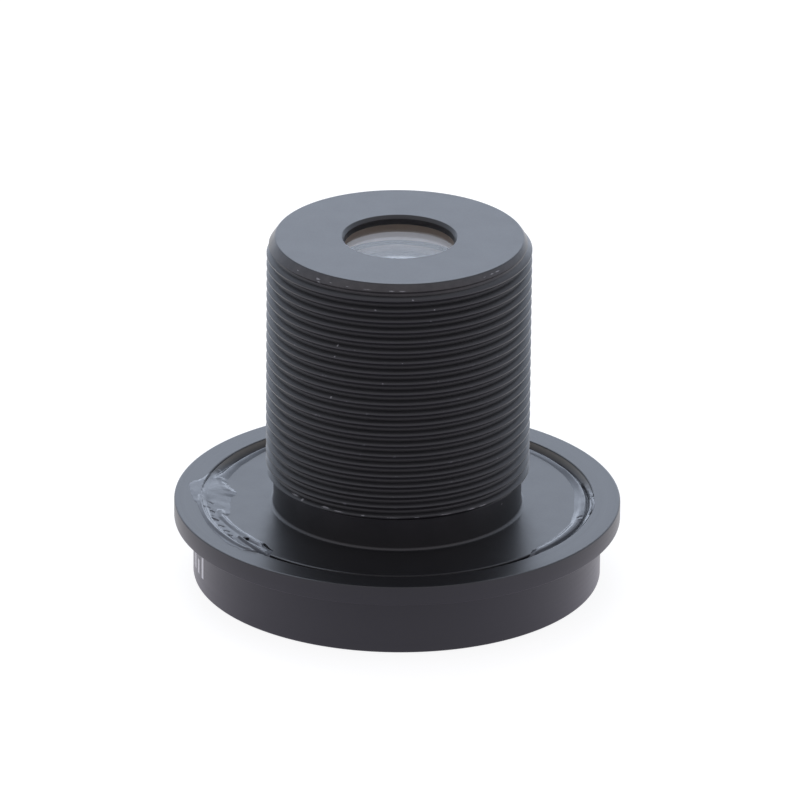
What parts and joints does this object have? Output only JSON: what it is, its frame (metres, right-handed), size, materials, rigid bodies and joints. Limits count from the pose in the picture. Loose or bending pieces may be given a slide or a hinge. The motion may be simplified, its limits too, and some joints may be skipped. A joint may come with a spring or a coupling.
{
  "type": "fisheye board lens",
  "caption": "Fixed-focus fisheye board lens with a finely threaded barrel and a wide, low front head.",
  "frame": {"origin": "centre of the front rim, on the plane that the lens stands on", "axes": "+Z along the optical axis from the front rim to the rear face; +X to the right and -Y towards the viewer of the picture"},
  "size_m": [0.0202, 0.0202, 0.0163],
  "materials": {
    "anodised_black": "fine matte black anodising on turned aluminium, with small bright nicks on the thread crests",
    "head_black": "satin black anodising with faint turning marks",
    "ring_black": "matte black anodising",
    "adhesive": "glossy cured adhesive with small bubbles and ripples",
    "seal_rubber": "matte black rubber",
    "mask_film": "dead black film",
    "lens_glass": "polished clear glass",
    "coated_glass": "polished glass with a faint coating tint",
    "filter_glass": "flat polished filter glass"
  },
  "bodies": {
    "root": {"main_barrel": "anodised_black", "head_shell": "head_black", "adhesive_bead": "adhesive", "front_element": "coated_glass", "front_seal_ring": "seal_rubber", "inner_lock_ring": "ring_black", "front_light_mask": "mask_film", "second_element": "lens_glass", "second_spacer": "ring_black", "third_element": "lens_glass", "third_spacer": "ring_black", "aperture_stop": "mask_film", "stop_spacer": "ring_black", "doublet_crown": "lens_glass", "doublet_flint": "lens_glass", "doublet_spacer": "ring_black", "rear_element": "lens_glass", "rear_light_mask": "mask_film", "filter_spacer": "ring_black", "infrared_filter": "filter_glass"}
  },
  "joints": []
}
